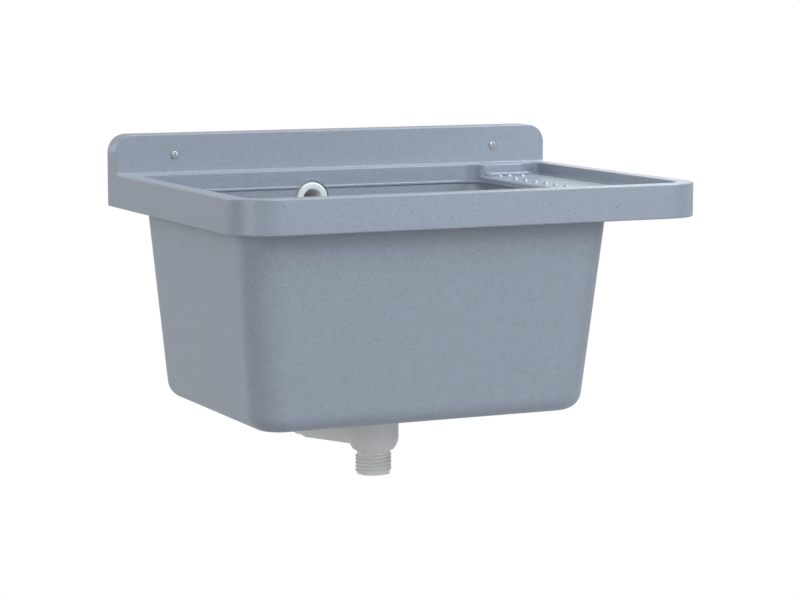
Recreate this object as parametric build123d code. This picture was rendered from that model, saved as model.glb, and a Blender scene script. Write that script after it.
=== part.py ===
from build123d import *
import os
from math import acos, cos, degrees, radians, sin, tan

# Wall-hung utility sink. Millimetres, +Z up, +X to the right seen from the front, +Y into the wall.
# The origin is on the wall plane, midway between the two wall fixings.

# Rim and backsplash
SINK_WIDTH = 600.0
SINK_DEPTH = 450.0
RIM_HEIGHT = 41.0
RIM_CORNER = 50.0
RIM_LAND = 21.0
SKIRT_WALL = 7.0
DECK_THICKNESS = 7.0
EDGE_ROUND = 1.6
LOWER_EDGE_ROUND = 1.6
BACKSPLASH_RISE = 49.0
BACKSPLASH_THICKNESS = 32.5
BACKSPLASH_CORNER = 23.0
BACKSPLASH_WALL = 7.0
BACKSPLASH_COVE = 2.0
BACK_LAND = 20.5
RIB_COUNT = 9
RIB_THICKNESS = 4.0

# Wall fixings
FIXING_SPACING = 446.0
FIXING_ABOVE_RIM = 23.0
SCREW_RADIUS = 2.75
SCREW_SHANK_RADIUS = 2.1
SCREW_CLEARANCE = 0.45
SCREW_HEAD_RADIUS = 4.5
SCREW_HEAD_HEIGHT = 2.6
SCREW_HEAD_CROWN = 1.6
SCREW_IN_WALL = 45.0
SCREW_TIP = 7.0
CROSS_LENGTH = 5.2
CROSS_WIDTH = 1.2
CROSS_DEPTH = 1.7
BOSS_RADIUS = 9.0

# Well inside the rim, with the ledge round the basin's mouth
WELL_DEPTH = 20.0
WELL_WALL = 6.0
WELL_BACK_CORNER = 14.0
WELL_EDGE_ROUND = 1.2
LEDGE_THICKNESS = 3.6
NOSE_OVERHANG = 2.0
NOSE_ROUND = 1.2

# Drainboard at the right, with a landing at its back that is flush with the rim
BOARD_WIDTH = 90.5
BOARD_LIP_SETBACK = 3.2
BOARD_DEPTH_LEFT = 15.5
BOARD_DEPTH_RIGHT = 14.5
BOARD_LIP_ROUND = 4.0
BOARD_COVE = 3.0
LANDING_OVERLAP = 18.0
LANDING_RIGHT_GAP = 24.0
LANDING_REACH = 15.0
LANDING_HOLLOW = 20.0
LANDING_NOSE = 9.0
PLINTH_REACH = 6.0
PLINTH_DROP = 10.5
PLINTH_ROUND = 2.0

# Tub under the rim; its plan sizes are at the underside of the rim
TUB_LEFT_INSET = 23.6
TUB_FRONT_INSET = 32.3
TUB_BACK_GAP = 50.0
TUB_HEIGHT = 233.0
TUB_WALL = 6.0
TUB_FLOOR = 6.0
TUB_CORNER = 40.0
TUB_SIDE_DRAFT = 5.3
TUB_BACK_DRAFT = 2.65
TUB_BOTTOM_ROUND = 23.0
TUB_FLANGE_REACH = 3.0
TUB_FLANGE_THICKNESS = 5.0
SEALANT_THICKNESS = 1.0

# Overflow in the back wall
OVERFLOW_OFFSET = -5.0
OVERFLOW_DROP = 37.0
RING_RADIUS = 21.0
RING_THICKNESS = 5.0
RING_ROUND = 2.0
RING_BORE_RADIUS = 12.5
RING_SLEEVE_WALL = 2.5
RING_SLEEVE_LENGTH = 20.0
RING_RECESS_MARGIN = 2.5
RING_RECESS_DEPTH = 2.0
OVERFLOW_PAD_RADIUS = 26.0
OVERFLOW_PAD_STANDOFF = 4.0
OVERFLOW_GASKET_THICKNESS = 2.0
ELBOW_FLANGE_RADIUS = 25.0
ELBOW_FLANGE_THICKNESS = 4.0
ELBOW_RADIUS = 18.0
ELBOW_WALL_GAP = 27.0
ELBOW_SOCKET_GAP = 2.0

# Overflow pipe and the gland joint at each of its ends
PIPE_RADIUS = 16.0
PIPE_WALL = 2.5
PIPE_BEND = 65.0
PIPE_INSERTION = 12.0
SOCKET_WALL = 3.0
GLAND_SHANK_LENGTH = 15.0
GLAND_SHANK_WALL = 2.0
GLAND_HEAD_RADIUS = 19.0
GLAND_HEAD_LENGTH = 14.0
GLAND_GRIPS = 10
GLAND_GRIP_RADIUS = 2.0
SEAL_LENGTH = 6.0
JOINT_CLEARANCE = 0.15

# Waste fitting in the floor of the tub
STRAINER_RADIUS = 35.0
STRAINER_SHEET = 1.5
STRAINER_CUP_RADIUS = 24.0
STRAINER_CUP_DEPTH = 16.0
STRAINER_HOLES = 8
STRAINER_HOLE_RADIUS = 3.2
STRAINER_HOLE_CIRCLE = 14.0
FLANGE_GASKET_THICKNESS = 1.5
WASTE_HOLE_CLEARANCE = 1.0
BODY_GASKET_THICKNESS = 3.0
BODY_FLANGE_RADIUS = 38.0
BODY_FLANGE_THICKNESS = 5.0
BODY_RADIUS = 31.0
BODY_WALL = 2.5
BODY_STRAIGHT = 36.0
BODY_SHOULDER = 20.0
KNEE_IN = 0.3
KNEE_DOWN = 0.62
SPIGOT_RADIUS = 22.0
SPIGOT_LENGTH = 27.7
SPIGOT_WALL = 3.5
SPIGOT_CHAMFER = 1.8
ARM_ANGLE = 27.0
ARM_DROP = 32.5
ARM_LENGTH = 103.0
ARM_BLEND = 8.0
HUB_RADIUS = 7.0
HUB_DROP = 27.0
HUB_LENGTH = 16.0
WEB_THICKNESS = 3.0
WEB_COUNT = 3
INSERT_RADIUS = 4.5
INSERT_LENGTH = 10.0
CLAMP_SCREW_RADIUS = 3.0
CLAMP_SCREW_HEAD_RADIUS = 6.0
CLAMP_SCREW_HEAD_HEIGHT = 3.0
CLAMP_SLOT_WIDTH = 1.4
CLAMP_SLOT_DEPTH = 1.5

# Stopper that rests in the strainer
PLUG_FLANGE_RADIUS = 27.0
PLUG_FLANGE_THICKNESS = 2.5
PLUG_TOP_CLEARANCE = 0.8
PLUG_TAPER = 2.0
PLUG_DEPTH = 8.0
PLUG_GRIP_RADIUS = 7.0
PLUG_GRIP_NECK = 4.0
PLUG_GRIP_HEIGHT = 11.0

# Levels that follow from the driving sizes
RIM_TOP = -FIXING_ABOVE_RIM
RIM_BOTTOM = RIM_TOP - RIM_HEIGHT
LEDGE_TOP = RIM_TOP - WELL_DEPTH
LEDGE_BOTTOM = LEDGE_TOP - LEDGE_THICKNESS
TUB_TOP = LEDGE_BOTTOM - SEALANT_THICKNESS
TUB_BOTTOM = RIM_BOTTOM - TUB_HEIGHT
TUB_FLOOR_TOP = TUB_BOTTOM + TUB_FLOOR
OVERFLOW_Z = RIM_TOP - OVERFLOW_DROP

# Plan places that follow from the driving sizes
WELL_LEFT = -SINK_WIDTH / 2 + RIM_LAND
WELL_RIGHT = SINK_WIDTH / 2 - RIM_LAND
WELL_FRONT = -SINK_DEPTH + RIM_LAND
WELL_BACK = -BACKSPLASH_THICKNESS - BACK_LAND
BOARD_LEFT = WELL_RIGHT - BOARD_WIDTH
MOUTH_RIGHT = BOARD_LEFT - BOARD_LIP_SETBACK
TUB_LEFT = -SINK_WIDTH / 2 + TUB_LEFT_INSET
TUB_RIGHT = MOUTH_RIGHT + NOSE_OVERHANG + TUB_WALL
TUB_FRONT = -SINK_DEPTH + TUB_FRONT_INSET
TUB_BACK = -TUB_BACK_GAP
LANDING_LEFT = BOARD_LEFT - LANDING_OVERLAP
LANDING_RIGHT = WELL_RIGHT - LANDING_RIGHT_GAP
LANDING_FRONT = WELL_BACK - LANDING_REACH
WASTE_X = (TUB_LEFT + TUB_RIGHT) / 2
WASTE_Y = (TUB_FRONT + TUB_BACK) / 2
OVERFLOW_X = WASTE_X + OVERFLOW_OFFSET

# Overflow faces, front to back
OVERFLOW_INNER_FACE = TUB_BACK - TUB_WALL
RECESS_FACE = OVERFLOW_INNER_FACE + RING_RECESS_DEPTH
PAD_FACE = TUB_BACK + OVERFLOW_PAD_STANDOFF
ELBOW_FLANGE_FACE = PAD_FACE + OVERFLOW_GASKET_THICKNESS
RING_SLEEVE_RADIUS = RING_BORE_RADIUS + RING_SLEEVE_WALL
SLEEVE_HOLE_RADIUS = RING_SLEEVE_RADIUS + JOINT_CLEARANCE

# Gland joint, shared by both ends of the overflow pipe
PIPE_BORE_RADIUS = PIPE_RADIUS - PIPE_WALL
PIPE_POCKET_RADIUS = PIPE_RADIUS + JOINT_CLEARANCE
GLAND_SHANK_RADIUS = PIPE_POCKET_RADIUS + GLAND_SHANK_WALL
SOCKET_BORE_RADIUS = GLAND_SHANK_RADIUS + JOINT_CLEARANCE
SOCKET_RADIUS = SOCKET_BORE_RADIUS + SOCKET_WALL
SOCKET_DEPTH = GLAND_SHANK_LENGTH + SEAL_LENGTH
PIPE_DEPTH = SOCKET_DEPTH + PIPE_INSERTION

# Waste levels, top to bottom
FLANGE_TOP = TUB_FLOOR_TOP
FLANGE_SEAT = FLANGE_TOP - STRAINER_SHEET - FLANGE_GASKET_THICKNESS
STRAINER_UNDERSIDE = FLANGE_TOP - STRAINER_SHEET
CUP_FLOOR = FLANGE_TOP - STRAINER_CUP_DEPTH
WASTE_HOLE_RADIUS = STRAINER_CUP_RADIUS + WASTE_HOLE_CLEARANCE
BODY_TOP = TUB_BOTTOM - BODY_GASKET_THICKNESS
SHOULDER_TOP = BODY_TOP - BODY_STRAIGHT
SPIGOT_TOP = SHOULDER_TOP - BODY_SHOULDER
SPIGOT_BOTTOM = SPIGOT_TOP - SPIGOT_LENGTH
HUB_TOP = BODY_TOP - HUB_DROP + HUB_LENGTH
HUB_BOTTOM = HUB_TOP - HUB_LENGTH
INSERT_POCKET_RADIUS = INSERT_RADIUS + JOINT_CLEARANCE
CLAMP_HOLE_RADIUS = CLAMP_SCREW_RADIUS + JOINT_CLEARANCE

# Centre line of the overflow pipe: out of the waste arm, round one bend and up to the elbow
ARM_Z = TUB_BOTTOM - ARM_DROP
ARM_DIRECTION = Vector(-sin(radians(ARM_ANGLE)), cos(radians(ARM_ANGLE)), 0)
ARM_START = Vector(WASTE_X, WASTE_Y, ARM_Z)
ARM_MOUTH = ARM_START + ARM_DIRECTION * ARM_LENGTH
BEND_CORNER = ARM_START + ARM_DIRECTION * ((-ELBOW_WALL_GAP - WASTE_Y) / ARM_DIRECTION.Y)
ELBOW_CORNER = Vector(OVERFLOW_X, -ELBOW_WALL_GAP, OVERFLOW_Z)
RISER_DIRECTION = (BEND_CORNER - ELBOW_CORNER).normalized()
RISER_FALL = -RISER_DIRECTION.Z
RISER_LEAN = sin(acos(RISER_FALL))
SOCKET_RISE = SOCKET_RADIUS * RISER_LEAN
BELOW_PAD = max(OVERFLOW_PAD_RADIUS, ELBOW_FLANGE_RADIUS) + ELBOW_SOCKET_GAP
ELBOW_OUTLET = (BELOW_PAD + SOCKET_RISE) / RISER_FALL + PIPE_DEPTH
ELBOW_MOUTH = ELBOW_CORNER + RISER_DIRECTION * ELBOW_OUTLET
PIPE_START = ARM_MOUTH - ARM_DIRECTION * PIPE_DEPTH
PIPE_END = ELBOW_MOUTH - RISER_DIRECTION * PIPE_DEPTH


def rod(start, end, radius):
    """Round bar between two points."""
    start = Vector(start)
    along = Vector(end) - start
    return extrude(Plane(origin=start, z_dir=along) * Circle(radius), along.length)


def disc(radius, low, high):
    """Round block about the Z axis between two levels."""
    return Pos(0, 0, low) * extrude(Circle(radius), high - low)


def ring(inner_radius, outer_radius, low, high):
    """Flat ring about the Z axis between two levels."""
    return disc(outer_radius, low, high) - disc(inner_radius, low, high)


def rim_outline(inset=0.0):
    """Plan of the rim: round at the front corners, square at the wall."""
    plan = Rectangle(SINK_WIDTH - 2 * inset, SINK_DEPTH - 2 * inset)
    plan = Pos(0, -SINK_DEPTH / 2) * plan
    front_corners = plan.vertices().sort_by(Axis.Y)[:2]
    return fillet(front_corners, RIM_CORNER - inset)


def backsplash_outline(inset=0.0):
    """Front view of the backsplash, standing on the rim, with its top corners rounded."""
    height = BACKSPLASH_RISE - inset
    shape = Rectangle(SINK_WIDTH - 2 * inset, height)
    shape = Pos(0, RIM_TOP + height / 2) * shape
    top_corners = shape.vertices().sort_by(Axis.Y)[-2:]
    return fillet(top_corners, BACKSPLASH_CORNER - inset)


def well_shell():
    """Plan of the well with its walls, without the landing."""
    width = WELL_RIGHT - WELL_LEFT + 2 * WELL_WALL
    depth = WELL_BACK - WELL_FRONT + 2 * WELL_WALL
    plan = Pos((WELL_LEFT + WELL_RIGHT) / 2, (WELL_FRONT + WELL_BACK) / 2) * Rectangle(width, depth)
    plan = fillet(plan.vertices().sort_by(Axis.Y)[:2], RIM_CORNER - RIM_LAND + WELL_WALL)
    return fillet(plan.vertices().sort_by(Axis.Y)[-2:], WELL_BACK_CORNER + WELL_WALL)


def well_outline():
    """Plan of the well, with the landing standing into it from the back wall."""
    turn = degrees(acos(1 - LANDING_REACH / (LANDING_HOLLOW + LANDING_NOSE)))
    hollow = JernArc((LANDING_LEFT, WELL_BACK), (1, 0), LANDING_HOLLOW, -turn)
    nose = JernArc(hollow @ 1, hollow % 1, LANDING_NOSE, turn)
    front = Line(nose @ 1, (LANDING_RIGHT - LANDING_NOSE, LANDING_FRONT))
    right_nose = JernArc(front @ 1, (1, 0), LANDING_NOSE, 90)
    right_hollow = JernArc(right_nose @ 1, (0, 1), LANDING_REACH - LANDING_NOSE, -90)
    straights = Polyline(
        right_hollow @ 1,
        (WELL_RIGHT, WELL_BACK),
        (WELL_RIGHT, WELL_FRONT),
        (WELL_LEFT, WELL_FRONT),
        (WELL_LEFT, WELL_BACK),
        hollow @ 0,
    )
    landing = [hollow, nose, front, right_nose, right_hollow]
    plan = make_face([edge for line in (*landing, straights) for edge in line.edges()])
    for corner_y, radius in ((WELL_FRONT, RIM_CORNER - RIM_LAND), (WELL_BACK, WELL_BACK_CORNER)):
        for corner_x in (WELL_LEFT, WELL_RIGHT):
            corner = plan.vertices().sort_by_distance((corner_x, corner_y))[0]
            plan = fillet(corner, radius)
    return plan


def tub_plan(level, inset):
    """Plan of the tub at one level, drawn in by the draft and by an inset from its outer face."""
    below_rim = RIM_BOTTOM - level
    side = below_rim * tan(radians(TUB_SIDE_DRAFT)) + inset
    back = below_rim * tan(radians(TUB_BACK_DRAFT)) + inset
    left = TUB_LEFT + side
    right = TUB_RIGHT - side
    front = TUB_FRONT + side
    rear = TUB_BACK - back
    plan = RectangleRounded(right - left, rear - front, TUB_CORNER - inset)
    return Pos((left + right) / 2, (front + rear) / 2, level) * plan


def overflow_rod(front, rear, radius):
    """Round bar on the axis of the overflow, from one depth to another."""
    return rod((OVERFLOW_X, front, OVERFLOW_Z), (OVERFLOW_X, rear, OVERFLOW_Z), radius)


def overflow_cut():
    """Ring recess and sleeve hole, which pass through the ledge and the tub's back wall."""
    recess = overflow_rod(RECESS_FACE - SINK_DEPTH / 4, RECESS_FACE, RING_RADIUS + RING_RECESS_MARGIN)
    return recess + overflow_rod(RECESS_FACE - RING_THICKNESS, PAD_FACE + TUB_WALL, SLEEVE_HOLE_RADIUS)


def overflow_pad(low, high):
    """The part of the flat pad behind the overflow that lies between two levels."""
    pad = overflow_rod(OVERFLOW_INNER_FACE, PAD_FACE, OVERFLOW_PAD_RADIUS)
    band = Box(SINK_WIDTH, SINK_DEPTH, high - low)
    return pad & Pos(OVERFLOW_X, PAD_FACE, (low + high) / 2) * band


def board_level(x):
    """Height of the drainboard's surface, which falls towards the basin."""
    share = (x - BOARD_LEFT) / (WELL_RIGHT - BOARD_LEFT)
    return RIM_TOP - BOARD_DEPTH_LEFT + share * (BOARD_DEPTH_LEFT - BOARD_DEPTH_RIGHT)


def over_board(lift, left, top):
    """Block over the whole depth, above the drainboard's slope raised by a lift."""
    right = SINK_WIDTH / 2
    profile = Polyline(
        (left, board_level(left) + lift),
        (right, board_level(right) + lift),
        (right, top),
        (left, top),
        close=True,
    )
    return extrude(Plane.XZ * make_face(profile), SINK_DEPTH)


def well_cut():
    """Air inside the rim: down to the ledge over the basin, and to the slope over the drainboard."""
    above = RIM_TOP + EDGE_ROUND
    well = extrude(Pos(0, 0, LEDGE_TOP) * well_outline(), above - LEDGE_TOP)
    basin_width = BOARD_LEFT + SINK_WIDTH / 2
    basin_side = Box(basin_width, 2 * SINK_DEPTH, above - LEDGE_TOP)
    basin_side = Pos(BOARD_LEFT - basin_width / 2, 0, (above + LEDGE_TOP) / 2) * basin_side
    return (well & basin_side) + (well & over_board(0, BOARD_LEFT, above))


def make_plinth():
    """Low step along the foot of the landing, with round ends and a rounded upper edge."""
    left = LANDING_LEFT + LANDING_HOLLOW + LANDING_NOSE - PLINTH_REACH
    right = LANDING_RIGHT + PLINTH_REACH
    top = RIM_TOP - PLINTH_DROP
    front = LANDING_FRONT - PLINTH_REACH
    back = LANDING_FRONT + LANDING_NOSE
    plan = Pos((left + right) / 2, (front + back) / 2) * Rectangle(right - left, back - front)
    plan = fillet(plan.vertices().sort_by(Axis.Y)[:2], LANDING_NOSE)
    block = extrude(Pos(0, 0, LEDGE_TOP) * plan, top - LEDGE_TOP)
    top_face = block.faces().sort_by(Axis.Z)[-1]
    return fillet(top_face.edges().sort_by(Axis.Y)[:-1], PLINTH_ROUND)


def rounded_deck():
    """Rim block and backsplash with the cove between them and one soft edge all round."""
    deck = extrude(Pos(0, 0, RIM_BOTTOM) * rim_outline(), RIM_HEIGHT)
    deck += extrude(Plane.XZ * backsplash_outline(), BACKSPLASH_THICKNESS)
    front_face_y = -BACKSPLASH_THICKNESS
    cove = deck.edges().filter_by(Axis.X).sort_by_distance((0, front_face_y, RIM_TOP))[0]
    deck = fillet(cove, BACKSPLASH_COVE)
    top_land = deck.faces().filter_by(Axis.Z).sort_by_distance((0, -SINK_DEPTH / 2, RIM_TOP))[0]
    splash_top = RIM_TOP + BACKSPLASH_RISE
    splash_front = deck.faces().filter_by(Axis.Y).sort_by_distance((0, front_face_y, splash_top / 2))[0]
    loop = list(top_land.edges().sort_by(Axis.Y)[:-1])
    loop += list(splash_front.edges().sort_by(Axis.Z)[1:])
    for side in (-SINK_WIDTH / 2, SINK_WIDTH / 2):
        middle = (side, front_face_y - BACKSPLASH_COVE / 3, RIM_TOP + BACKSPLASH_COVE / 3)
        loop.append(deck.edges().filter_by(GeomType.CIRCLE).sort_by_distance(middle)[0])
    deck = fillet(loop, EDGE_ROUND)
    underside = deck.faces().sort_by(Axis.Z)[0]
    return fillet(underside.edges().sort_by(Axis.Y)[:-1], LOWER_EDGE_ROUND)


def backsplash_hollow():
    """Space behind the backsplash, open to the wall, between its ribs and screw bosses."""
    depth = BACKSPLASH_THICKNESS - BACKSPLASH_WALL
    hollow = extrude(Plane.XZ * backsplash_outline(BACKSPLASH_WALL), depth)
    rib_pitch = SINK_WIDTH / (RIB_COUNT + 1)
    rib = Box(RIB_THICKNESS, BACKSPLASH_THICKNESS, 2 * BACKSPLASH_RISE)
    for i in range(RIB_COUNT):
        hollow -= Pos((i + 1) * rib_pitch - SINK_WIDTH / 2, -BACKSPLASH_THICKNESS / 2, 0) * rib
    for x in fixing_places():
        hollow -= rod((x, 0, 0), (x, -BACKSPLASH_THICKNESS, 0), BOSS_RADIUS)
    return hollow


def fixing_places():
    return (-FIXING_SPACING / 2, FIXING_SPACING / 2)


def make_top_tray():
    """Rim, backsplash, well and drainboard in one moulding, hollow underneath and behind."""
    tray = rounded_deck()
    under_height = RIM_HEIGHT - DECK_THICKNESS
    tray -= extrude(Pos(0, 0, RIM_BOTTOM) * rim_outline(SKIRT_WALL), under_height)
    tray += extrude(Pos(0, 0, LEDGE_BOTTOM) * well_shell(), RIM_TOP - DECK_THICKNESS / 2 - LEDGE_BOTTOM)
    tray -= well_cut()
    lip_place = (BOARD_LEFT, WELL_FRONT / 2, board_level(BOARD_LEFT))
    lip = tray.edges().filter_by(Axis.Y).sort_by_distance(lip_place)[0]
    tray = fillet(lip, BOARD_LIP_ROUND)
    tray = fillet(board_feet(tray), BOARD_COVE)
    mouth = tub_plan(TUB_TOP, TUB_WALL + NOSE_OVERHANG)
    tray -= extrude(Pos(0, 0, LEDGE_BOTTOM - TUB_TOP) * mouth, LEDGE_THICKNESS)
    for level in (LEDGE_TOP, LEDGE_BOTTOM):
        tray = fillet(mouth_edges(tray, level), NOSE_ROUND)
    tray = fillet(well_rim_edges(tray), WELL_EDGE_ROUND)
    tray += overflow_pad(LEDGE_BOTTOM, RIM_TOP - DECK_THICKNESS / 2)
    tray -= overflow_cut()
    tray -= backsplash_hollow()
    for x in fixing_places():
        tray -= rod((x, 0, 0), (x, -BACKSPLASH_THICKNESS, 0), SCREW_RADIUS + SCREW_CLEARANCE)
    return tray + make_plinth()


def board_feet(tray):
    """Edges of the drainboard where the well's walls rise from it."""
    middle_x = (BOARD_LEFT + WELL_RIGHT) / 2
    board = tray.faces().sort_by_distance((middle_x, WELL_FRONT / 2, board_level(middle_x)))[0]
    lip_x = board.edges().sort_by(Axis.X)[0].center().X
    return [edge for edge in board.outer_wire().edges() if edge.center().X > lip_x + BOARD_COVE / 4]


def mouth_edges(tray, level):
    """Edges of the basin's mouth at one level."""
    flat = tray.faces().filter_by(Axis.Z)
    mouth_front = TUB_FRONT + TUB_WALL
    face = flat.sort_by_distance((WASTE_X, mouth_front, level))[0]
    return face.inner_wires().sort_by_distance((WASTE_X, WASTE_Y, level))[0].edges()


def well_rim_edges(tray):
    """Upper edges of the well's walls, on the top land."""
    land = tray.faces().filter_by(Axis.Z).sort_by_distance((0, WELL_FRONT - RIM_LAND / 2, RIM_TOP))[0]
    return land.inner_wires()[0].edges()


def make_tub():
    """Deep tapered tub with a bonding flange, a seat for the waste and the lower part of the pad."""
    outer = loft([tub_plan(TUB_TOP, 0), tub_plan(TUB_BOTTOM, 0)], ruled=True)
    outer = fillet(outer.faces().sort_by(Axis.Z)[0].edges(), TUB_BOTTOM_ROUND)
    flange_plan = tub_plan(TUB_TOP, -TUB_FLANGE_REACH)
    outer += extrude(flange_plan, -TUB_FLANGE_THICKNESS)
    outer += overflow_pad(OVERFLOW_Z - OVERFLOW_PAD_RADIUS, TUB_TOP)
    inner = loft([tub_plan(TUB_TOP, TUB_WALL), tub_plan(TUB_FLOOR_TOP, TUB_WALL)], ruled=True)
    inner = fillet(inner.faces().sort_by(Axis.Z)[0].edges(), TUB_BOTTOM_ROUND - TUB_FLOOR)
    tub = outer - inner
    seat = disc(STRAINER_RADIUS + WASTE_HOLE_CLEARANCE, FLANGE_SEAT, TUB_FLOOR_TOP)
    hole = disc(WASTE_HOLE_RADIUS, TUB_BOTTOM, TUB_FLOOR_TOP)
    tub -= Pos(WASTE_X, WASTE_Y, 0) * seat
    tub -= Pos(WASTE_X, WASTE_Y, 0) * hole
    return tub - overflow_cut()


def make_mouth_sealant():
    """Bead of sealant between the tray's ledge and the tub's flange, cut away at the overflow."""
    plan = tub_plan(TUB_TOP, -TUB_FLANGE_REACH) - tub_plan(TUB_TOP, TUB_WALL)
    return extrude(plan, SEALANT_THICKNESS) - overflow_cut()


def make_wall_screws():
    """Two cross-head screws: a shank in the boss, and the threaded length standing out into the wall."""
    length = BACKSPLASH_THICKNESS + SCREW_IN_WALL
    straight = length - SCREW_TIP
    crown_edge = SCREW_HEAD_CROWN - SCREW_HEAD_HEIGHT
    crown_radius = (SCREW_HEAD_RADIUS**2 + SCREW_HEAD_CROWN**2) / (2 * SCREW_HEAD_CROWN)
    crown = RadiusArc((SCREW_HEAD_RADIUS, crown_edge), (0, -SCREW_HEAD_HEIGHT), crown_radius)
    sides = Polyline(
        (0, -SCREW_HEAD_HEIGHT),
        (0, length),
        (SCREW_RADIUS, straight),
        (SCREW_RADIUS, BACKSPLASH_THICKNESS),
        (SCREW_SHANK_RADIUS, BACKSPLASH_THICKNESS),
        (SCREW_SHANK_RADIUS, 0),
        (SCREW_HEAD_RADIUS, 0),
        (SCREW_HEAD_RADIUS, crown_edge),
    )
    profile = make_face([*crown.edges(), *sides.edges()])
    screw = revolve(Plane.XZ * profile, Axis.Z)
    slot = Pos(0, 0, -SCREW_HEAD_HEIGHT) * Box(CROSS_LENGTH, CROSS_WIDTH, 2 * CROSS_DEPTH)
    screw -= slot
    screw -= Rot(0, 0, 90) * slot
    front = Plane(origin=(0, -BACKSPLASH_THICKNESS, 0), z_dir=(0, 1, 0)).location
    return [Pos(x, 0, 0) * front * screw for x in fixing_places()]


def make_overflow_ring():
    """White ring in the back wall with a sleeve that passes through to the elbow."""
    front = RECESS_FACE - RING_THICKNESS
    flange = overflow_rod(front, RECESS_FACE, RING_RADIUS)
    flange = fillet(flange.edges().sort_by(Axis.Y)[0], RING_ROUND)
    sleeve_end = RECESS_FACE + RING_SLEEVE_LENGTH
    piece = flange + overflow_rod(RECESS_FACE - RING_ROUND, sleeve_end, RING_SLEEVE_RADIUS)
    piece -= overflow_rod(front, sleeve_end, RING_BORE_RADIUS)
    on_lip = (OVERFLOW_X + RING_BORE_RADIUS, front, OVERFLOW_Z)
    lip = piece.edges().filter_by(GeomType.CIRCLE).sort_by_distance(on_lip)[0]
    return fillet(lip, RING_ROUND)


def make_overflow_gasket():
    gasket = overflow_rod(PAD_FACE, ELBOW_FLANGE_FACE, ELBOW_FLANGE_RADIUS)
    return gasket - overflow_rod(PAD_FACE, ELBOW_FLANGE_FACE, SLEEVE_HOLE_RADIUS)


def socket_cut():
    """Bores of a gland socket whose mouth is at the origin, looking out along +Z."""
    nut_bore = disc(SOCKET_BORE_RADIUS, -SOCKET_DEPTH, 0)
    return nut_bore + disc(PIPE_POCKET_RADIUS, -PIPE_DEPTH, -SOCKET_DEPTH)


def make_overflow_elbow():
    """Elbow behind the wall: flange and threaded neck for the ring, gland socket for the pipe."""
    elbow = overflow_rod(ELBOW_FLANGE_FACE, ELBOW_FLANGE_FACE + ELBOW_FLANGE_THICKNESS, ELBOW_FLANGE_RADIUS)
    elbow += overflow_rod(ELBOW_FLANGE_FACE, ELBOW_CORNER.Y, ELBOW_RADIUS)
    elbow += Pos(ELBOW_CORNER) * Sphere(ELBOW_RADIUS)
    socket_start = ELBOW_MOUTH - RISER_DIRECTION * PIPE_DEPTH
    elbow += rod(ELBOW_CORNER, ELBOW_MOUTH, ELBOW_RADIUS)
    elbow += rod(socket_start, ELBOW_MOUTH, SOCKET_RADIUS)
    sleeve_end = RECESS_FACE + RING_SLEEVE_LENGTH
    clear_radius = BELOW_PAD - ELBOW_SOCKET_GAP / 2
    elbow -= overflow_rod(ELBOW_FLANGE_FACE - ELBOW_RADIUS, ELBOW_FLANGE_FACE, clear_radius)
    elbow -= overflow_rod(ELBOW_FLANGE_FACE, sleeve_end, SLEEVE_HOLE_RADIUS)
    elbow -= overflow_rod(ELBOW_FLANGE_FACE, ELBOW_CORNER.Y, PIPE_BORE_RADIUS)
    elbow -= Pos(ELBOW_CORNER) * Sphere(PIPE_BORE_RADIUS)
    elbow -= rod(ELBOW_CORNER, ELBOW_MOUTH, PIPE_BORE_RADIUS)
    return elbow - Plane(origin=ELBOW_MOUTH, z_dir=RISER_DIRECTION).location * socket_cut()


def gland_places():
    """Frames at the two socket mouths, each looking out of its socket."""
    lower = Plane(origin=ARM_MOUTH, z_dir=ARM_DIRECTION).location
    upper = Plane(origin=ELBOW_MOUTH, z_dir=RISER_DIRECTION).location
    return {"lower": lower, "upper": upper}


def gland_nut():
    """Hollow nut with a shank inside the socket and a notched head outside it."""
    shank = ring(PIPE_POCKET_RADIUS, GLAND_SHANK_RADIUS, -GLAND_SHANK_LENGTH, 0)
    head = ring(PIPE_POCKET_RADIUS, GLAND_HEAD_RADIUS, 0, GLAND_HEAD_LENGTH)
    notch = disc(GLAND_GRIP_RADIUS, GLAND_HEAD_LENGTH / 5, GLAND_HEAD_LENGTH)
    notch_circle = GLAND_HEAD_RADIUS + GLAND_GRIP_RADIUS / 2
    for place in PolarLocations(notch_circle, GLAND_GRIPS):
        head -= place * notch
    return shank + head


def gland_seal():
    """Rubber ring squeezed between the nut's shank and the end of the socket."""
    outer = SOCKET_BORE_RADIUS - JOINT_CLEARANCE
    return ring(PIPE_POCKET_RADIUS, outer, -SOCKET_DEPTH, -GLAND_SHANK_LENGTH)


def make_overflow_pipe():
    """Rigid pipe with one bend, from the waste arm up behind the tub to the elbow."""
    route = FilletPolyline(PIPE_START, BEND_CORNER, PIPE_END, radius=PIPE_BEND)
    section = Circle(PIPE_RADIUS) - Circle(PIPE_BORE_RADIUS)
    return sweep(Plane(origin=PIPE_START, z_dir=ARM_DIRECTION) * section, path=route)


def at_waste(piece):
    return Pos(WASTE_X, WASTE_Y, 0) * piece


def make_strainer_flange():
    """Pressed steel cup with a flat flange, drain holes and a hole for the clamping screw."""
    flange = disc(STRAINER_RADIUS, STRAINER_UNDERSIDE, FLANGE_TOP)
    cup = disc(STRAINER_CUP_RADIUS, CUP_FLOOR - STRAINER_SHEET, FLANGE_TOP)
    piece = flange + cup
    piece -= disc(STRAINER_CUP_RADIUS - STRAINER_SHEET, CUP_FLOOR, FLANGE_TOP)
    hole = disc(STRAINER_HOLE_RADIUS, CUP_FLOOR - STRAINER_SHEET, CUP_FLOOR)
    for place in PolarLocations(STRAINER_HOLE_CIRCLE, STRAINER_HOLES):
        piece -= place * hole
    piece -= disc(CLAMP_HOLE_RADIUS, CUP_FLOOR - STRAINER_SHEET, CUP_FLOOR)
    return at_waste(piece)


def make_flange_gasket():
    return at_waste(ring(WASTE_HOLE_RADIUS, STRAINER_RADIUS, FLANGE_SEAT, STRAINER_UNDERSIDE))


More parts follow.
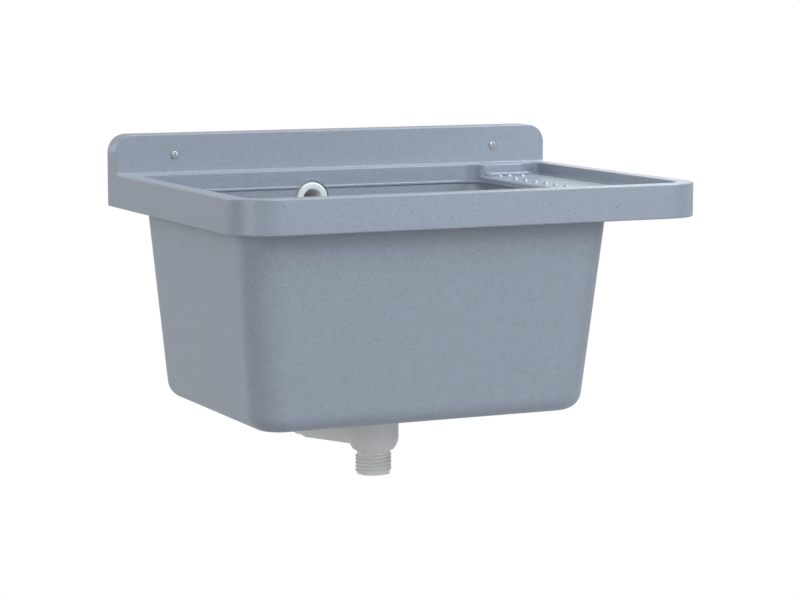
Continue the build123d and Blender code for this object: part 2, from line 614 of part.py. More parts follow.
def make_body_gasket():
    return at_waste(ring(WASTE_HOLE_RADIUS, BODY_FLANGE_RADIUS, BODY_TOP, TUB_BOTTOM))


def bowl_profile(shrink, top, bottom):
    """Half section of the waste bowl, its rounded shoulder and spigot, drawn in by a wall."""
    bowl = BODY_RADIUS - shrink
    neck = SPIGOT_RADIUS - (SPIGOT_WALL if shrink else 0)
    knee = (bowl - (bowl - neck) * KNEE_IN, SHOULDER_TOP - BODY_SHOULDER * KNEE_DOWN)
    shoulder = ThreePointArc((bowl, SHOULDER_TOP), knee, (neck, SPIGOT_TOP))
    sides = Polyline(
        (neck, SPIGOT_TOP),
        (neck, bottom),
        (0, bottom),
        (0, top),
        (bowl, top),
        (bowl, SHOULDER_TOP),
    )
    return Plane.XZ * make_face([*shoulder.edges(), *sides.edges()])


def make_waste_body():
    """Bowl under the tub with an overflow arm, a spigot for the trap and a webbed hub inside."""
    flange = disc(BODY_FLANGE_RADIUS, BODY_TOP - BODY_FLANGE_THICKNESS, BODY_TOP)
    body = revolve(bowl_profile(0, BODY_TOP, SPIGOT_BOTTOM), Axis.Z)
    body = chamfer(body.edges().sort_by(Axis.Z)[0], SPIGOT_CHAMFER)
    body = at_waste(body + flange) + rod(ARM_START, ARM_MOUTH, SOCKET_RADIUS)
    joint = [edge for edge in body.edges() if edge.geom_type not in (GeomType.CIRCLE, GeomType.LINE)]
    body = fillet(joint, ARM_BLEND)
    body -= at_waste(revolve(bowl_profile(BODY_WALL, BODY_TOP, SPIGOT_BOTTOM), Axis.Z))
    body -= rod(ARM_START, ARM_MOUTH, PIPE_BORE_RADIUS)
    body -= gland_places()["lower"] * socket_cut()
    hub = disc(HUB_RADIUS, HUB_BOTTOM, HUB_TOP)
    web_length = BODY_RADIUS - BODY_WALL / 2
    web = Pos(web_length / 2, 0, (HUB_TOP + HUB_BOTTOM) / 2) * Box(web_length, WEB_THICKNESS, HUB_LENGTH)
    arm_heading = 90 + ARM_ANGLE
    for i in range(WEB_COUNT):
        hub += Rot(0, 0, arm_heading + 360 * (i + 0.5) / WEB_COUNT) * web
    body += at_waste(hub)
    body -= at_waste(disc(INSERT_POCKET_RADIUS, HUB_TOP - INSERT_LENGTH, HUB_TOP))
    return body - at_waste(disc(CLAMP_HOLE_RADIUS, HUB_BOTTOM, HUB_TOP))


def make_insert_nut():
    """Brass insert in the hub, into which the clamping screw is driven."""
    return at_waste(ring(CLAMP_HOLE_RADIUS, INSERT_RADIUS, HUB_TOP - INSERT_LENGTH, HUB_TOP))


def make_strainer_screw():
    """Slotted screw that clamps the strainer and the waste body on the tub's floor."""
    head = disc(CLAMP_SCREW_HEAD_RADIUS, CUP_FLOOR, CUP_FLOOR + CLAMP_SCREW_HEAD_HEIGHT)
    head = fillet(head.edges().sort_by(Axis.Z)[-1], CLAMP_SCREW_HEAD_HEIGHT / 3)
    slot_level = CUP_FLOOR + CLAMP_SCREW_HEAD_HEIGHT - CLAMP_SLOT_DEPTH / 2
    head -= Pos(0, 0, slot_level) * Box(2 * CLAMP_SCREW_HEAD_RADIUS, CLAMP_SLOT_WIDTH, CLAMP_SLOT_DEPTH)
    return at_waste(head + disc(CLAMP_SCREW_RADIUS, HUB_BOTTOM, CUP_FLOOR))


def make_drain_plug():
    """Rubber stopper: a tapered body in the cup, a flange on the strainer and a grip on top."""
    body_top = STRAINER_CUP_RADIUS - STRAINER_SHEET - PLUG_TOP_CLEARANCE
    flange_top = FLANGE_TOP + PLUG_FLANGE_THICKNESS
    grip_top = flange_top + PLUG_GRIP_HEIGHT
    neck_level = flange_top + PLUG_GRIP_HEIGHT / 3
    profile = Polyline(
        (0, FLANGE_TOP - PLUG_DEPTH),
        (body_top - PLUG_TAPER, FLANGE_TOP - PLUG_DEPTH),
        (body_top, FLANGE_TOP),
        (PLUG_FLANGE_RADIUS, FLANGE_TOP),
        (PLUG_FLANGE_RADIUS, flange_top - PLUG_FLANGE_THICKNESS / 2),
        (PLUG_FLANGE_RADIUS - PLUG_FLANGE_THICKNESS, flange_top),
        (PLUG_GRIP_NECK, flange_top),
        (PLUG_GRIP_NECK, neck_level),
        (PLUG_GRIP_RADIUS, neck_level + PLUG_GRIP_HEIGHT / 3),
        (PLUG_GRIP_RADIUS, grip_top - PLUG_GRIP_HEIGHT / 6),
        (PLUG_GRIP_RADIUS - PLUG_GRIP_HEIGHT / 6, grip_top),
        (0, grip_top),
        close=True,
    )
    return at_waste(revolve(Plane.XZ * make_face(profile), Axis.Z))


def make_pieces():
    pieces = {
        "top_tray": make_top_tray(),
        "tub": make_tub(),
        "mouth_sealant": make_mouth_sealant(),
        "wall_screws": make_wall_screws(),
        "overflow_ring": make_overflow_ring(),
        "overflow_gasket": make_overflow_gasket(),
        "overflow_elbow": make_overflow_elbow(),
        "overflow_pipe": make_overflow_pipe(),
        "strainer_flange": make_strainer_flange(),
        "flange_gasket": make_flange_gasket(),
        "body_gasket": make_body_gasket(),
        "waste_body": make_waste_body(),
        "insert_nut": make_insert_nut(),
        "strainer_screw": make_strainer_screw(),
        "drain_plug": make_drain_plug(),
    }
    for end, place in gland_places().items():
        pieces[f"{end}_pipe_nut"] = place * gland_nut()
        pieces[f"{end}_pipe_seal"] = place * gland_seal()
    return pieces


def main():
    os.makedirs("parts", exist_ok=True)
    for name, piece in make_pieces().items():
        shape = Compound(children=piece) if isinstance(piece, list) else piece
        export_step(shape, f"parts/{name}.step")


main()
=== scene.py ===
from math import cos, hypot, radians, sin, tau

import bmesh
import bpy
from mathutils import Euler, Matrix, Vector


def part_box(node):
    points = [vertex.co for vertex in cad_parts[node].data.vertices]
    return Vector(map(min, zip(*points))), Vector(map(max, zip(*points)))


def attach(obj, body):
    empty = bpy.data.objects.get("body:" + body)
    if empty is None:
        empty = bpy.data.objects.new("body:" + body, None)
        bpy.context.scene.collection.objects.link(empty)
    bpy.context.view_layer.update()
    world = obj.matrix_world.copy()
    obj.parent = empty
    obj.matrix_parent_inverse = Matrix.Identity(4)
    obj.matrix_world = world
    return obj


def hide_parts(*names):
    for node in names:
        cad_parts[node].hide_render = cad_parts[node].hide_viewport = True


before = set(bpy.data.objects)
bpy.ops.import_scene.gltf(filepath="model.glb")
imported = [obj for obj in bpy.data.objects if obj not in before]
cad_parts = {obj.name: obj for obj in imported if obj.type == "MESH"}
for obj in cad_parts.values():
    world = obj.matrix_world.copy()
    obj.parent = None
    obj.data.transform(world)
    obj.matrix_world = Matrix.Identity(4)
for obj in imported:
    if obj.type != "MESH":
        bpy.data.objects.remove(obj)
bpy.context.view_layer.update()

# Sizes are in metres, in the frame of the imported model

# Waste outlet: a spigot cut back to a root, and a coarse thread that fades in and out over a share of a turn
OUTLET_RADIUS = 0.022
OUTLET_ROOT_RADIUS = 0.0200
OUTLET_NECK_HEIGHT = 0.0277
OUTLET_END_CHAMFER = 0.0018
OUTLET_SOLE_BAND = OUTLET_END_CHAMFER / 2
OUTLET_TOLERANCE = OUTLET_END_CHAMFER / 4
OUTLET_THREAD_PITCH = 0.0044
THREAD_STEPS_PER_TURN = 56
THREAD_FLANK = 0.0020
THREAD_CREST = 0.0018
THREAD_SUNK = 0.0002
THREAD_RUN_IN = 0.25

# Low domes on the drainboard, in a row along the basin and three beside the landing
DOME_RADIUS = 0.0053
DOME_HEIGHT = 0.0037
DOME_SUNK = 0.0002
DOME_RINGS = 7
DOME_SIDES = 28
DOME_ROW_X = 0.2054
DOME_ROW_START = -0.1337
DOME_ROW_PITCH = 0.02695
DOME_ROW_COUNT = 10
DOMES_BY_LANDING = ((0.209, -0.0825), (0.2235, -0.0795), (0.238, -0.0895))

# Wall screws: crowned heads with a tapered cross recess, plain shanks and threads that wind to the tip
HEAD_HEIGHT = 0.0025
HEAD_CROWN = 0.0010
HEAD_RINGS = 22
HEAD_SIDES = 72
CROSS_HALF_LENGTH = 0.0034
CROSS_HALF_WIDTH = 0.0011
CROSS_DEPTH = 0.0018
CROSS_END_SLOPE = 1.1
CROSS_SIDE_SLOPE = 3.0
SHANK_RADIUS = 0.0021
SHANK_SIDES = 24
SCREW_RADIUS = 0.00275
SCREW_TIP = 0.007
SCREW_POINT = 0.0002
SCREW_THREAD_PITCH = 0.0028
SCREW_STEPS_PER_TURN = 10
SCREW_RIDGE_SLOPE = 3

# Faces of the added meshes look smooth where they meet below this angle, in degrees
SHARP_ANGLE = 38

# Noises: detail, roughness and the middle range of their values that most ramps use
FINE_DETAIL = 2.0
PLAIN_DETAIL = 4.0
RICH_DETAIL = 5.0
NOISE_ROUGHNESS = 0.55
NOISE_LOW = 0.3
NOISE_HIGH = 0.7

# Resin: clouds of two colours under a pale grain; a scale is in cells per metre
CLOUD_SCALE = 70.0
CLOUD_DARK = (0.276, 0.312, 0.372)
CLOUD_PALE = (0.296, 0.333, 0.396)
GRAIN_SCALE = 240.0
GRAIN_STOPS = ((0.30, 0.0), (0.72, 0.60))
GRAIN_COLOUR = (0.370, 0.404, 0.464)
RESIN_SHINE_SCALE = 160.0
RESIN_SMOOTH = 0.30
RESIN_ROUGH = 0.40
RESIN_SPECULAR = 0.7
RESIN_SKIN_SCALE = 520.0
RESIN_SKIN_STRENGTH = 0.06
RESIN_SKIN_DEPTH = 0.0006

# Flecks of the resin: scale, radius as a share of a cell, share of the cells that have one, colour
RESIN_FLECKS = (
    (150.0, 0.22, 0.60, (0.351, 0.389, 0.449)),
    (120.0, 0.18, 0.48, (0.240, 0.272, 0.327)),
    (52.0, 0.06, 0.22, (0.105, 0.118, 0.147)),
)
FLECK_CORE = 0.6
FLECK_CHOICE = 0.8

# Plastics: name, colour, darker colour, roughness and strength of the skin's bump
WHITE_PLASTIC = ("white_plastic", (0.94, 0.94, 0.935), (0.92, 0.92, 0.91), 0.25, 0.02)
PALE_PLASTIC = ("pale_grey_plastic", (0.90, 0.895, 0.88), (0.88, 0.875, 0.86), 0.40, 0.04)
GREY_PLASTIC = ("grey_plastic", (0.81, 0.803, 0.785), (0.78, 0.773, 0.755), 0.45, 0.06)
PLASTIC_DRIFT_SCALE = 55.0
PLASTIC_SHINE_SCALE = 240.0
PLASTIC_SMOOTHER = 0.05
PLASTIC_ROUGHER = 0.07
PLASTIC_SKIN_SCALE = 900.0
PLASTIC_SKIN_DEPTH = 0.0003

# Metals: name, colour, roughness and scratches per metre along each axis
STAINLESS_STEEL = ("stainless_steel", (0.66, 0.66, 0.65), 0.24, (1600, 60, 60))
ZINC_STEEL = ("zinc_steel", (0.52, 0.525, 0.53), 0.50, (500, 500, 500))
TURNED_BRASS = ("turned_brass", (0.68, 0.48, 0.20), 0.22, (60, 60, 1500))
SCRATCH_SHADE = 0.9
SCRATCH_ROUGHER = 0.08
SCRATCH_STRENGTH = 0.03
SCRATCH_DEPTH = 0.0001

# Rubbers: name and colour
BLACK_RUBBER = ("black_rubber", (0.02, 0.02, 0.022))
GREY_SEALANT = ("grey_sealant", (0.28, 0.30, 0.34))
BLOOM_SCALE = 90.0
BLOOM_PALER = 0.03
BLOOM_START = 0.35
BLOOM_END = 0.75
RUBBER_SHINE_SCALE = 300.0
RUBBER_SMOOTH = 0.55
RUBBER_ROUGH = 0.75
RUBBER_SKIN_SCALE = 1100.0
RUBBER_SKIN_STRENGTH = 0.12
RUBBER_SKIN_DEPTH = 0.0003

# Camera that took the picture, in metres and degrees; the image is 800 by 600
CAMERA_PLACE = (-1.29796, -3.00790, 0.21119)
CAMERA_YAW = 24.983
CAMERA_PITCH = 7.135
CAMERA_FOCAL_PIXELS = 2519.46
CAMERA_REACH = 200.0
IMAGE_WIDTH = 800
SENSOR_WIDTH = 36.0

# Soft lights: name, azimuth and elevation in degrees, size in metres, power in watts and colour
LIGHT_AIM = (0, -0.22, -0.15)
LIGHT_DISTANCE = 4.5
SOFTBOXES = (
    ("front_softbox", 10, 40, 2.1, 76, (0.88, 0.945, 1)),
    ("low_front_softbox", 30, 15, 2.1, 63, (0.87, 0.93, 1)),
    ("key_softbox", 93, 54, 0.9, 148, (0.92, 0.96, 1)),
    ("top_softbox", 0, 70, 2.1, 40, (0.94, 0.98, 1)),
    ("rear_right_softbox", 140, 14, 1.5, 9, (0.94, 0.98, 1)),
    ("rear_left_softbox", 227, 22, 3.3, 99, (0.96, 0.98, 1)),
    ("left_softbox", 298, 10, 2.1, 49, (1, 1, 1)),
)

# White surroundings, of which shiny surfaces show a share
WHITE = (1, 1, 1, 1)
GLOSS_SHARE = 0.4

# Floor: its share of plain white runs from all of it far away to half of it under the sink
FLOOR_LEVEL = -0.78
FLOOR_RADIUS = 60.0
FLOOR_SIDES = 64
FLOOR_COLOUR = (0.40, 0.40, 0.40, 1)
FLOOR_ROUGHNESS = 0.9
FLOOR_SPREAD = (1.35, 1.35, 1.35)
FLOOR_WHITENESS = ((0.0, 1.0), (0.6, 0.5))


def new_material(name):
    """A node material and its main shader."""
    material = bpy.data.materials.new(name)
    material.use_nodes = True
    return material, material.node_tree.nodes["Principled BSDF"]


def add_node(owner, kind, **settings):
    """A node of one kind in a material or world, with its properties and unlinked inputs set by name."""
    made = owner.node_tree.nodes.new(kind)
    for key, value in settings.items():
        if hasattr(made, key):
            setattr(made, key, value)
        else:
            made.inputs[key.replace("_", " ").title()].default_value = value
    return made


def join(owner, source, target):
    """A link between two nodes of a material or world."""
    owner.node_tree.links.new(source, target)


def row_coordinates(material):
    """Coordinates in the row frame, the same on every piece."""
    return add_node(material, "ShaderNodeTexCoord").outputs["Object"]


def noise(material, scale, detail=PLAIN_DETAIL):
    """Values of a noise with a number of cells per metre."""
    made = add_node(material, "ShaderNodeTexNoise", scale=scale, detail=detail, roughness=NOISE_ROUGHNESS)
    join(material, row_coordinates(material), made.inputs["Vector"])
    return made.outputs["Fac"]


def ramp(material, value, stops):
    """A colour ramp on a value; each stop is a place and a grey level or a colour."""
    made = add_node(material, "ShaderNodeValToRGB")
    elements = made.color_ramp.elements
    for element, (place, colour) in zip(elements, stops, strict=True):
        element.position = place
        element.color = (colour, colour, colour, 1) if isinstance(colour, float) else (*colour, 1)
    join(material, value, made.inputs["Fac"])
    return made.outputs["Color"]


def middle_ramp(material, value, low, high):
    """A ramp over the middle range of a noise, from one grey level or colour to another."""
    return ramp(material, value, ((NOISE_LOW, low), (NOISE_HIGH, high)))


def blend(material, amount, first, second):
    """Mix of two colours; each is a colour or another node's output."""
    made = add_node(material, "ShaderNodeMix", data_type="RGBA")
    sockets = {s.name + s.type: s for s in made.inputs}
    join(material, amount, sockets["FactorVALUE"])
    for name, colour in (("ARGBA", first), ("BRGBA", second)):
        if isinstance(colour, tuple):
            sockets[name].default_value = (*colour, 1)
        else:
            join(material, colour, sockets[name])
    return [s for s in made.outputs if s.type == "RGBA"][0]


def combined(owner, operation, first, second):
    """Two values worked into one, such as their product."""
    made = add_node(owner, "ShaderNodeMath", operation=operation)
    join(owner, first, made.inputs[0])
    join(owner, second, made.inputs[1])
    return made.outputs["Value"]


def specks(material, scale, radius, share):
    """Small round flecks: 1 inside a fleck and 0 outside, on a share of the cells."""
    cells = add_node(material, "ShaderNodeTexVoronoi", scale=scale)
    join(material, row_coordinates(material), cells.inputs["Vector"])
    fleck = ramp(material, cells.outputs["Distance"], ((radius * FLECK_CORE, 1.0), (radius, 0.0)))
    split = add_node(material, "ShaderNodeSeparateColor")
    join(material, cells.outputs["Color"], split.inputs["Color"])
    chosen = ramp(material, split.outputs["Red"], ((share * FLECK_CHOICE, 1.0), (share, 0.0)))
    return combined(material, "MULTIPLY", fleck, chosen)


def add_bump(material, shader, height, strength, distance):
    """Fine relief on a shader."""
    made = add_node(material, "ShaderNodeBump", strength=strength, distance=distance)
    join(material, height, made.inputs["Height"])
    join(material, made.outputs["Normal"], shader.inputs["Normal"])


def speckled_resin():
    """Satin blue-grey resin with faint clouds, a pale grain, and light, grey and sparse dark flecks."""
    material, shader = new_material("speckled_resin")
    clouds = middle_ramp(material, noise(material, CLOUD_SCALE, RICH_DETAIL), CLOUD_DARK, CLOUD_PALE)
    grain = ramp(material, noise(material, GRAIN_SCALE), GRAIN_STOPS)
    colour = blend(material, grain, clouds, GRAIN_COLOUR)
    for scale, radius, share, fleck_colour in RESIN_FLECKS:
        colour = blend(material, specks(material, scale, radius, share), colour, fleck_colour)
    join(material, colour, shader.inputs["Base Color"])
    shine = middle_ramp(material, noise(material, RESIN_SHINE_SCALE), RESIN_SMOOTH, RESIN_ROUGH)
    join(material, shine, shader.inputs["Roughness"])
    shader.inputs["Specular IOR Level"].default_value = RESIN_SPECULAR
    relief = noise(material, RESIN_SKIN_SCALE, FINE_DETAIL)
    add_bump(material, shader, relief, RESIN_SKIN_STRENGTH, RESIN_SKIN_DEPTH)
    return material


def moulded_plastic(name, colour, shade, roughness, bump):
    """Moulded plastic with a faint drift of colour and a fine skin."""
    material, shader = new_material(name)
    drift = middle_ramp(material, noise(material, PLASTIC_DRIFT_SCALE), shade, colour)
    join(material, drift, shader.inputs["Base Color"])
    smooth = roughness - PLASTIC_SMOOTHER
    rough = roughness + PLASTIC_ROUGHER
    shine = middle_ramp(material, noise(material, PLASTIC_SHINE_SCALE), smooth, rough)
    join(material, shine, shader.inputs["Roughness"])
    relief = noise(material, PLASTIC_SKIN_SCALE, FINE_DETAIL)
    add_bump(material, shader, relief, bump, PLASTIC_SKIN_DEPTH)
    return material


def worked_metal(name, colour, roughness, scratches_per_metre):
    """Metal with fine scratches, which run along the axis that has the fewest of them."""
    material, shader = new_material(name)
    mapping = add_node(material, "ShaderNodeMapping", scale=scratches_per_metre)
    join(material, row_coordinates(material), mapping.inputs["Vector"])
    made = add_node(material, "ShaderNodeTexNoise", scale=1.0, detail=RICH_DETAIL)
    join(material, mapping.outputs["Vector"], made.inputs["Vector"])
    scratches = made.outputs["Fac"]
    dark = tuple(SCRATCH_SHADE * channel for channel in colour)
    join(material, middle_ramp(material, scratches, dark, colour), shader.inputs["Base Color"])
    shine = middle_ramp(material, scratches, roughness, roughness + SCRATCH_ROUGHER)
    join(material, shine, shader.inputs["Roughness"])
    shader.inputs["Metallic"].default_value = 1.0
    add_bump(material, shader, scratches, SCRATCH_STRENGTH, SCRATCH_DEPTH)
    return material


def soft_rubber(name, colour):
    """Matt rubber with a dusty bloom."""
    material, shader = new_material(name)
    pale = tuple(channel + BLOOM_PALER for channel in colour)
    dust = noise(material, BLOOM_SCALE, RICH_DETAIL)
    bloom = ramp(material, dust, ((BLOOM_START, colour), (BLOOM_END, pale)))
    join(material, bloom, shader.inputs["Base Color"])
    shine = middle_ramp(material, noise(material, RUBBER_SHINE_SCALE), RUBBER_SMOOTH, RUBBER_ROUGH)
    join(material, shine, shader.inputs["Roughness"])
    relief = noise(material, RUBBER_SKIN_SCALE, FINE_DETAIL)
    add_bump(material, shader, relief, RUBBER_SKIN_STRENGTH, RUBBER_SKIN_DEPTH)
    return material


def paint(nodes, material):
    """Gives CAD nodes a material."""
    for name in nodes:
        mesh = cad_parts[name].data
        mesh.materials.clear()
        mesh.materials.append(material)


def linked(name, data):
    """A new object in the scene."""
    made = bpy.data.objects.new(name, data)
    bpy.context.scene.collection.objects.link(made)
    return made


def ring_angles(sides):
    """Angles of the points on a ring, in radians."""
    return [tau * side / sides for side in range(sides)]


def skin(shape, rows):
    """Closed skin over rows of points, each row a loop with as many points as the next."""
    loops = [[shape.verts.new(place) for place in row] for row in rows]
    for first, second in zip(loops, loops[1:]):
        for i in range(len(first)):
            j = (i + 1) % len(first)
            shape.faces.new((first[i], first[j], second[j], second[i]))
    for cap in (loops[0], loops[-1]):
        shape.faces.new(cap)


def mesh_piece(name, shape, material):
    """An object from a built shape, smooth and painted."""
    bmesh.ops.recalc_face_normals(shape, faces=shape.faces)
    mesh = bpy.data.meshes.new(name)
    shape.to_mesh(mesh)
    shape.free()
    mesh.materials.append(material)
    mesh.shade_smooth()
    mesh.set_sharp_from_angle(angle=radians(SHARP_ANGLE))
    return linked(name, mesh)


def threaded_outlet(node):
    """Copy of the waste body whose spigot is cut back to the thread's root, and the middle of its sole."""
    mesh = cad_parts[node].data.copy()
    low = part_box(node)[0]
    sole = [v.co for v in mesh.vertices if v.co.z < low.z + OUTLET_SOLE_BAND]
    centre_x = (min(p.x for p in sole) + max(p.x for p in sole)) / 2
    centre_y = (min(p.y for p in sole) + max(p.y for p in sole)) / 2
    for vertex in mesh.vertices:
        x = vertex.co.x - centre_x
        y = vertex.co.y - centre_y
        radius = hypot(x, y)
        on_spigot = vertex.co.z < low.z + OUTLET_NECK_HEIGHT + OUTLET_TOLERANCE
        if on_spigot and abs(radius - OUTLET_RADIUS) < OUTLET_TOLERANCE:
            vertex.co.x = centre_x + x * OUTLET_ROOT_RADIUS / radius
            vertex.co.y = centre_y + y * OUTLET_ROOT_RADIUS / radius
    return linked("threaded_waste_body", mesh), (centre_x, centre_y, low.z)


def helical_thread(centre, material):
    """Ridge that winds up the spigot from its end, fading into the root at both ends."""
    height = OUTLET_NECK_HEIGHT - 2 * THREAD_FLANK
    steps = int(height / OUTLET_THREAD_PITCH * THREAD_STEPS_PER_TURN)
    depth = OUTLET_RADIUS - OUTLET_ROOT_RADIUS
    shape = bmesh.new()
    rows = []
    for step in range(steps + 1):
        angle = tau * step / THREAD_STEPS_PER_TURN
        level = centre[2] + THREAD_FLANK + OUTLET_THREAD_PITCH * step / THREAD_STEPS_PER_TURN
        turns_from_end = min(step, steps - step) / THREAD_STEPS_PER_TURN
        crest = depth * min(1.0, turns_from_end / THREAD_RUN_IN)
        section = (
            (-THREAD_SUNK, -THREAD_FLANK),
            (crest, -THREAD_CREST / 2),
            (crest, THREAD_CREST / 2),
            (-THREAD_SUNK, THREAD_FLANK),
        )
        row = []
        for rise, along in section:
            radius = OUTLET_ROOT_RADIUS + rise
            row.append((centre[0] + radius * cos(angle), centre[1] + radius * sin(angle), level + along))
        rows.append(row)
    skin(shape, rows)
    return mesh_piece("outlet_thread", shape, material)


def face_rise(x, z, radius):
    """How far a screw head's face stands out of its seat, with the cross recess sunk into it."""
    recess = 0.0
    for along, across in ((abs(x), abs(z)), (abs(z), abs(x))):
        from_end = (CROSS_HALF_LENGTH - along) * CROSS_END_SLOPE
        from_side = (CROSS_HALF_WIDTH - across) * CROSS_SIDE_SLOPE
        recess = max(recess, min(from_end, from_side, CROSS_DEPTH))
    return HEAD_HEIGHT - HEAD_CROWN * (hypot(x, z) / radius) ** 2 - recess


def shank_radius(y, angle, end):
    """Plain up to the wall, then a thread that narrows to the point."""
    if y < 0:
        return SHANK_RADIUS
    turn = (y / SCREW_THREAD_PITCH - angle / tau) % 1
    ridge = max(0.0, 1 - SCREW_RIDGE_SLOPE * abs(turn - 0.5))
    taper = min(1.0, (end - y) / SCREW_TIP)
    return max(SCREW_POINT, taper * (SHANK_RADIUS + ridge * (SCREW_RADIUS - SHANK_RADIUS)))


def cross_headed_screws(material):
    """Both wall screws, each a crowned cross head on a threaded shank."""
    low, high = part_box("wall_screws")
    radius = high.z
    seat = low.y + HEAD_HEIGHT
    step = SCREW_THREAD_PITCH / SCREW_STEPS_PER_TURN
    levels = [seat, -step] + [step * i for i in range(int(high.y / step))] + [high.y]
    shape = bmesh.new()
    for middle in (low.x + radius, high.x - radius):
        head = []
        for ring in range(1, HEAD_RINGS + 1):
            reach = radius * ring / HEAD_RINGS
            flat = [(reach * cos(angle), reach * sin(angle)) for angle in ring_angles(HEAD_SIDES)]
            head.append([(middle + x, seat - face_rise(x, z, radius), z) for x, z in flat])
        head.append([(x, seat, z) for x, y, z in head[-1]])
        skin(shape, head)
        shank = []
        for y in levels:
            row = []
            for angle in ring_angles(SHANK_SIDES):
                reach = shank_radius(y, angle, high.y)
                row.append((middle + reach * cos(angle), y, reach * sin(angle)))
            shank.append(row)
        skin(shape, shank)
    return mesh_piece("cross_headed_screws", shape, material)


def dome_places():
    """Plan places of the drainboard's domes."""
    row = [(DOME_ROW_X, DOME_ROW_START - DOME_ROW_PITCH * i) for i in range(DOME_ROW_COUNT)]
    return [*row, *DOMES_BY_LANDING]


def board_domes(material):
    """Smooth domes that run out into the drainboard under them."""
    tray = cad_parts["top_tray"]
    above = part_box("top_tray")[1].z
    shape = bmesh.new()
    for x, y in dome_places():
        level = tray.ray_cast((x, y, above), (0, 0, -1))[1].z
        rings = []
        for step in range(1, DOME_RINGS + 1):
            share = step / DOME_RINGS
            reach = DOME_RADIUS * share
            z = level + (DOME_HEIGHT * (1 - share**2) ** 2 - DOME_SUNK * share)
            ring = [(x + reach * cos(angle), y + reach * sin(angle), z) for angle in ring_angles(DOME_SIDES)]
            rings.append([shape.verts.new(place) for place in ring])
        top = shape.verts.new((x, y, level + DOME_HEIGHT))
        for side in range(DOME_SIDES):
            after = (side + 1) % DOME_SIDES
            shape.faces.new((top, rings[0][side], rings[0][after]))
            for inner, outer in zip(rings, rings[1:]):
                shape.faces.new((inner[side], outer[side], outer[after], inner[after]))
    return mesh_piece("board_domes", shape, material)


def seen_by_camera_or_gloss(owner):
    """1 for rays from the camera, a share for rays from shiny surfaces, and 0 for the light itself."""
    path = add_node(owner, "ShaderNodeLightPath")
    shine = add_node(owner, "ShaderNodeMapRange", to_max=GLOSS_SHARE)
    join(owner, path.outputs["Is Glossy Ray"], shine.inputs["Value"])
    return combined(owner, "MAXIMUM", path.outputs["Is Camera Ray"], shine.outputs["Result"])


def make_floor():
    """Pale round floor that turns into the white background away from the sink."""
    bpy.ops.mesh.primitive_circle_add(
        vertices=FLOOR_SIDES,
        radius=FLOOR_RADIUS,
        fill_type="NGON",
        location=(0, 0, FLOOR_LEVEL),
    )
    floor = bpy.context.object
    floor.name = "floor"
    material, shader = new_material("pale_floor")
    shader.inputs["Base Color"].default_value = FLOOR_COLOUR
    shader.inputs["Roughness"].default_value = FLOOR_ROUGHNESS
    white = add_node(material, "ShaderNodeEmission", strength=1.0)
    spread = add_node(material, "ShaderNodeTexGradient", gradient_type="SPHERICAL")
    reach = add_node(material, "ShaderNodeMapping", scale=FLOOR_SPREAD)
    join(material, row_coordinates(material), reach.inputs["Vector"])
    join(material, reach.outputs["Vector"], spread.inputs["Vector"])
    far = ramp(material, spread.outputs["Fac"], FLOOR_WHITENESS)
    amount = combined(material, "MULTIPLY", far, seen_by_camera_or_gloss(material))
    mixed = add_node(material, "ShaderNodeMixShader")
    join(material, amount, mixed.inputs["Fac"])
    join(material, shader.outputs["BSDF"], mixed.inputs[1])
    join(material, white.outputs["Emission"], mixed.inputs[2])
    join(material, mixed.outputs["Shader"], material.node_tree.nodes["Material Output"].inputs["Surface"])
    floor.data.materials.append(material)


def make_world():
    """White surroundings, dimmer as a light than they look."""
    world = bpy.data.worlds.new("white_studio")
    world.use_nodes = True
    bpy.context.scene.world = world
    background = world.node_tree.nodes["Background"]
    background.inputs["Color"].default_value = WHITE
    join(world, seen_by_camera_or_gloss(world), background.inputs["Strength"])


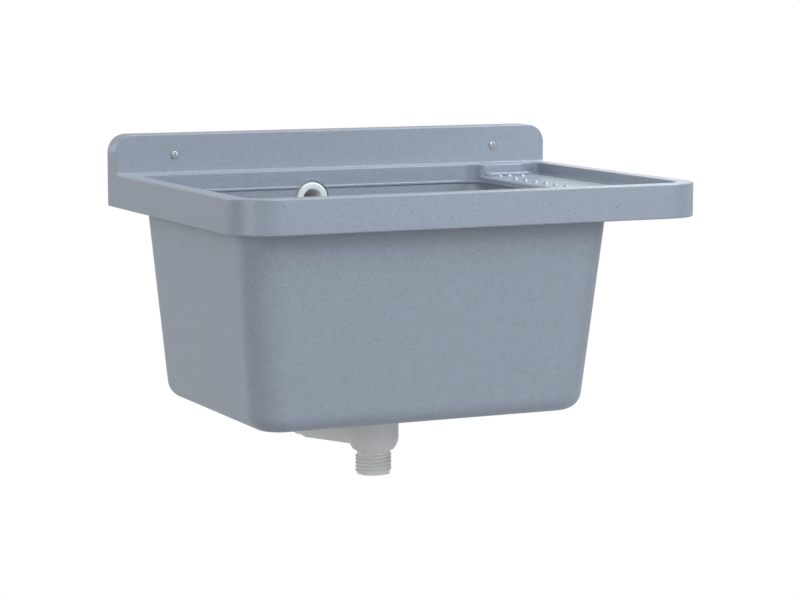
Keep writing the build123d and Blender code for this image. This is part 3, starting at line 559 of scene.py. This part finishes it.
def add_softbox(name, azimuth, elevation, size, power, colour):
    """Square soft light round the sink; azimuth 0 is in front of it and 90 at its right, in degrees."""
    light = bpy.data.lights.new(name, "AREA")
    light.size = size
    light.energy = power
    light.color = colour
    turn = (radians(90 - elevation), 0, radians(azimuth))
    lamp = linked(name, light)
    lamp.rotation_euler = turn
    lamp.location = Vector(LIGHT_AIM) + Euler(turn).to_matrix() @ Vector((0, 0, LIGHT_DISTANCE))


def make_camera():
    """The camera at the photograph's viewing angle."""
    data = bpy.data.cameras.new("photo_camera")
    data.sensor_width = SENSOR_WIDTH
    data.lens = CAMERA_FOCAL_PIXELS * SENSOR_WIDTH / IMAGE_WIDTH
    data.clip_end = CAMERA_REACH
    camera = linked("photo_camera", data)
    camera.location = CAMERA_PLACE
    camera.rotation_euler = (radians(90 - CAMERA_PITCH), 0, radians(-CAMERA_YAW))
    bpy.context.scene.camera = camera


def dress_sink():
    """Paints the CAD nodes, replaces two of them by detailed copies and adds the thread and the domes."""
    resin = speckled_resin()
    grey = moulded_plastic(*GREY_PLASTIC)
    pale = moulded_plastic(*PALE_PLASTIC)
    rubber = soft_rubber(*BLACK_RUBBER)
    zinc = worked_metal(*ZINC_STEEL)
    paint(["top_tray", "tub"], resin)
    paint(["overflow_ring"], moulded_plastic(*WHITE_PLASTIC))
    paint(["overflow_elbow", "overflow_pipe", "lower_pipe_nut", "upper_pipe_nut"], pale)
    paint(["waste_body"], grey)
    paint(["overflow_gasket", "flange_gasket", "body_gasket", "lower_pipe_seal", "upper_pipe_seal"], rubber)
    paint(["drain_plug"], rubber)
    paint(["mouth_sealant"], soft_rubber(*GREY_SEALANT))
    paint(["strainer_flange", "strainer_screw"], worked_metal(*STAINLESS_STEEL))
    paint(["wall_screws"], zinc)
    paint(["insert_nut"], worked_metal(*TURNED_BRASS))
    body, outlet_foot = threaded_outlet("waste_body")
    thread = helical_thread(outlet_foot, grey)
    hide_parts("waste_body")
    screws = cross_headed_screws(zinc)
    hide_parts("wall_screws")
    slots = {
        body: "grey_plastic",
        thread: "grey_plastic",
        board_domes(resin): "speckled_resin",
        screws: "zinc_steel",
    }
    for piece, slot in slots.items():
        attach(piece, "sink")


dress_sink()
make_floor()
make_world()
for softbox in SOFTBOXES:
    add_softbox(*softbox)
make_camera()
bpy.context.scene.view_settings.view_transform = "Standard"
